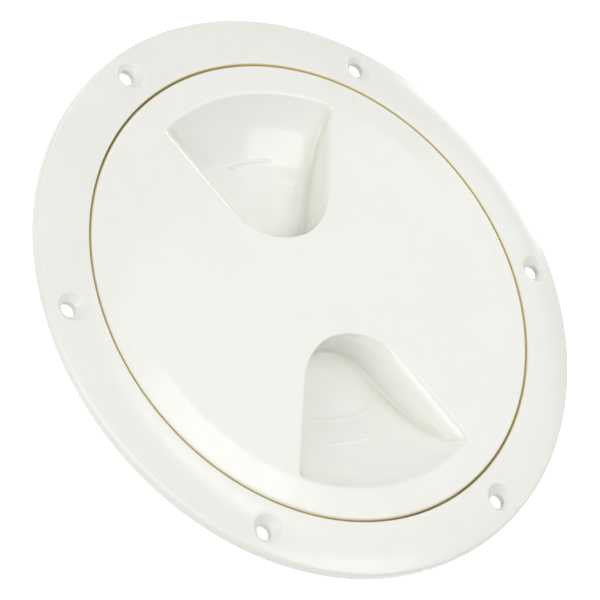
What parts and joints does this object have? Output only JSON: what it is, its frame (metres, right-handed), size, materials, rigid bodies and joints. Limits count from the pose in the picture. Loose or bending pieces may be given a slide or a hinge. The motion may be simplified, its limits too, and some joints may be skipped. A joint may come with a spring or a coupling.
{
  "type": "deck inspection plate",
  "caption": "Round screw-in inspection plate for a deck: a flat ring with countersunk screw holes and a flush lid with scooped finger pockets that screws into its collar.",
  "frame": {"origin": "centre of the screw circle in the plane of the deck, which is the underside of the flange", "axes": "+Z out of the deck along the lid's thread, +X through the first screw hole"},
  "size_m": [0.176, 0.176, 0.023],
  "materials": {
    "ring_plastic": "glossy",
    "lid_plastic": "glossy",
    "seal_rubber": "matte"
  },
  "bodies": {
    "deck_ring": {"deck_ring": "ring_plastic"},
    "seal": {"seal_ring": "seal_rubber"},
    "lid": {"screw_lid": "lid_plastic"}
  },
  "joints": [
    {"name": "lid_rise", "type": "slide", "parent": "deck_ring", "child": "seal", "axis": [0, 0, 1], "range_m": [0, 0.00875]},
    {"name": "lid_turn", "type": "hinge", "parent": "seal", "child": "lid", "pos_m": [0, 0, 0], "axis": [0, 0, 1], "range_deg": [0, 630]}
  ],
  "couplings": [
    {"joint": "lid_rise", "follows": "lid_turn", "m_per_rad": 0.00079577}
  ]
}
